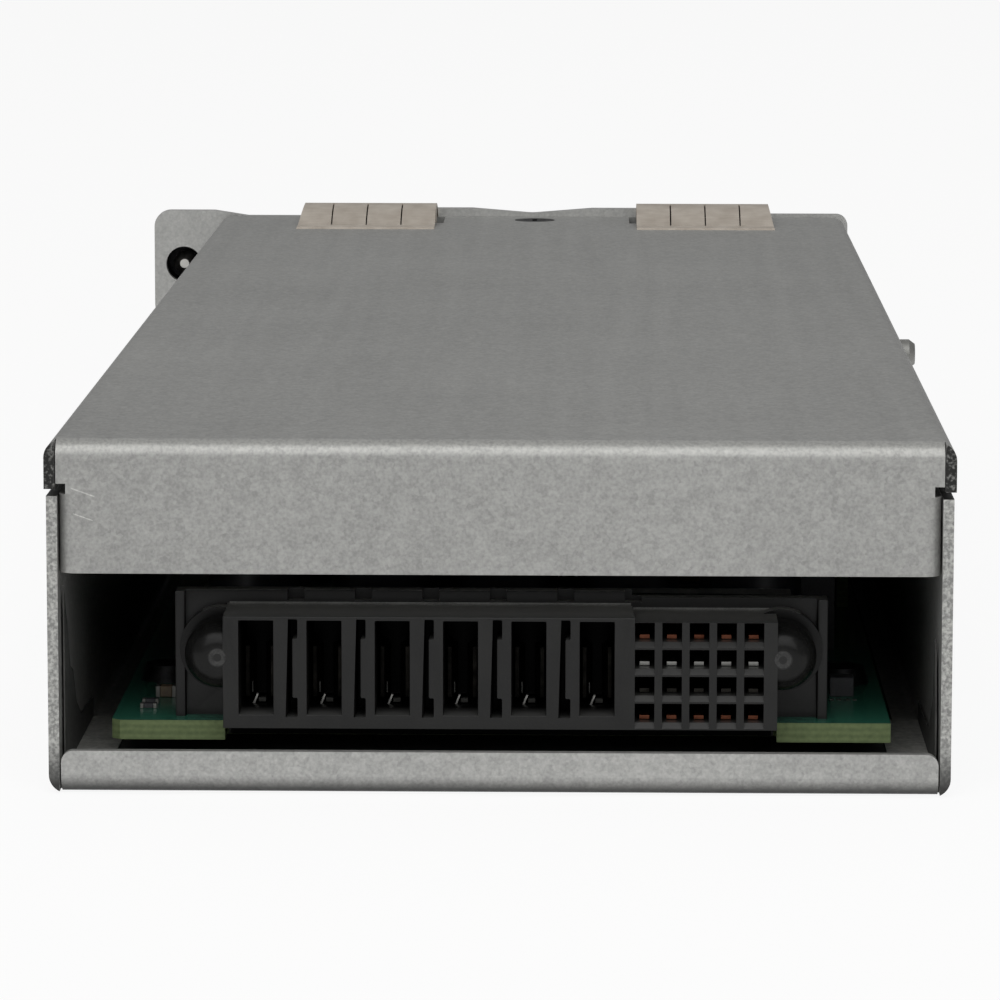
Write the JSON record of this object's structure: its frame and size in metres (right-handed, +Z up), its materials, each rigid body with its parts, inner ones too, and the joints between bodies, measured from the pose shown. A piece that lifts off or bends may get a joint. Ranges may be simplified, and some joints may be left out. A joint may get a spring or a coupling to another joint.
{
  "type": "hot swap server power supply",
  "caption": "Slim folded-steel hot swap server power supply with blind-mate docking connector, fan, AC inlet, bail handle and captive thumbscrew.",
  "frame": {"origin": "middle of the underside of the folded tray", "axes": "+X across the case, +Y from the docking connector to the front panel, +Z up"},
  "size_m": [0.0947, 0.2445, 0.0355],
  "materials": {
    "galvanised_steel": "zinc coated sheet, fine grain",
    "panel_steel": "light grey, matt",
    "bright_steel": "nickel plated",
    "black_screw": "black oxide",
    "spring_steel": "drawn wire",
    "clear_plastic": "clear moulded",
    "spring_bronze": "tinned spring strip",
    "sintered_bronze": "sintered",
    "copper_enamel": "enamelled copper",
    "copper_alloy": "bare copper alloy",
    "nickel_brass": "nickel plated",
    "black_plastic": "moulded, matt",
    "connector_plastic": "glass filled moulding",
    "green_board": "solder mask",
    "insulator_film": "fish paper",
    "aluminium_extrusion": "natural extrusion",
    "black_epoxy": "moulded epoxy",
    "ferrite": "pressed ferrite",
    "winding_tape": "polyester tape",
    "capacitor_sleeve": "shrink sleeve",
    "yellow_case": "moulded box",
    "fuse_ceramic": "ceramic tube with plated caps",
    "wire_insulation": "silicone insulation"
  },
  "bodies": {
    "case": {"chassis_tray": "galvanised_steel", "top_cover": "galvanised_steel", "cover_keepers": "galvanised_steel", "cover_rivets": "bright_steel", "keying_stud": "bright_steel", "cover_screw_bracket": "galvanised_steel", "cover_front_screw": "black_screw", "front_panel": "panel_steel", "front_panel_rivets": "bright_steel", "status_light_pipes": "clear_plastic", "emi_finger_strip_right": "spring_bronze", "emi_finger_strip_left": "spring_bronze", "fan_grille": "panel_steel", "fan_frame": "black_plastic", "fan_bearing": "sintered_bronze", "fan_stator": "copper_enamel", "fan_screws": "black_screw", "handle_lug_left": "panel_steel", "handle_lug_right": "panel_steel", "thumbscrew_ferrule": "bright_steel", "thumbscrew_spring": "spring_steel", "ac_inlet_body": "black_plastic", "ac_inlet_pins": "nickel_brass", "main_board": "green_board", "board_standoffs": "nickel_brass", "board_screws": "bright_steel", "insulator_sheet": "insulator_film", "docking_connector_housing": "connector_plastic", "power_contacts": "copper_alloy", "power_tails": "copper_alloy", "signal_contacts": "copper_alloy", "secondary_heatsink": "aluminium_extrusion", "primary_heatsink": "aluminium_extrusion", "rectifier_transistors": "black_epoxy", "primary_transistors": "black_epoxy", "transformer_core": "ferrite", "transformer_winding": "winding_tape", "bulk_capacitors": "capacitor_sleeve", "output_capacitors": "capacitor_sleeve", "boost_choke_core": "ferrite", "boost_choke_winding": "copper_enamel", "common_mode_core": "ferrite", "common_mode_windings": "copper_enamel", "film_capacitors": "yellow_case", "fuse": "fuse_ceramic", "fuse_clips": "nickel_brass", "bypass_relay": "black_epoxy", "control_board": "green_board", "control_chips": "black_epoxy", "output_busbars": "copper_alloy", "input_wires": "wire_insulation", "fan_lead": "wire_insulation"},
    "fan_rotor": {"fan_rotor": "black_plastic", "fan_shaft": "bright_steel"},
    "handle": {"handle_bail": "bright_steel"},
    "thumbscrew_slider": {"thumbscrew_washer": "bright_steel"},
    "thumbscrew": {"thumbscrew": "bright_steel"}
  },
  "joints": [
    {"name": "fan_spin", "type": "hinge", "parent": "case", "child": "fan_rotor", "pos_m": [-0.022, 0.1067, 0.0162], "axis": [0, 1, 0], "continuous": true},
    {"name": "handle_fold", "type": "hinge", "parent": "case", "child": "handle", "pos_m": [-0.022, 0.1194, 0.027], "axis": [1, 0, 0], "range_deg": [0, 90]},
    {"name": "thumbscrew_press", "type": "slide", "parent": "case", "child": "thumbscrew_slider", "axis": [0, -1, 0], "range_m": [0, 0.0035], "stiffness_N_per_m": 100, "springref_m": -0.002, "deforming": ["thumbscrew_spring"]},
    {"name": "thumbscrew_turn", "type": "hinge", "parent": "thumbscrew_slider", "child": "thumbscrew", "pos_m": [-0.047, 0.123, 0.0265], "axis": [0, 1, 0], "continuous": true}
  ]
}
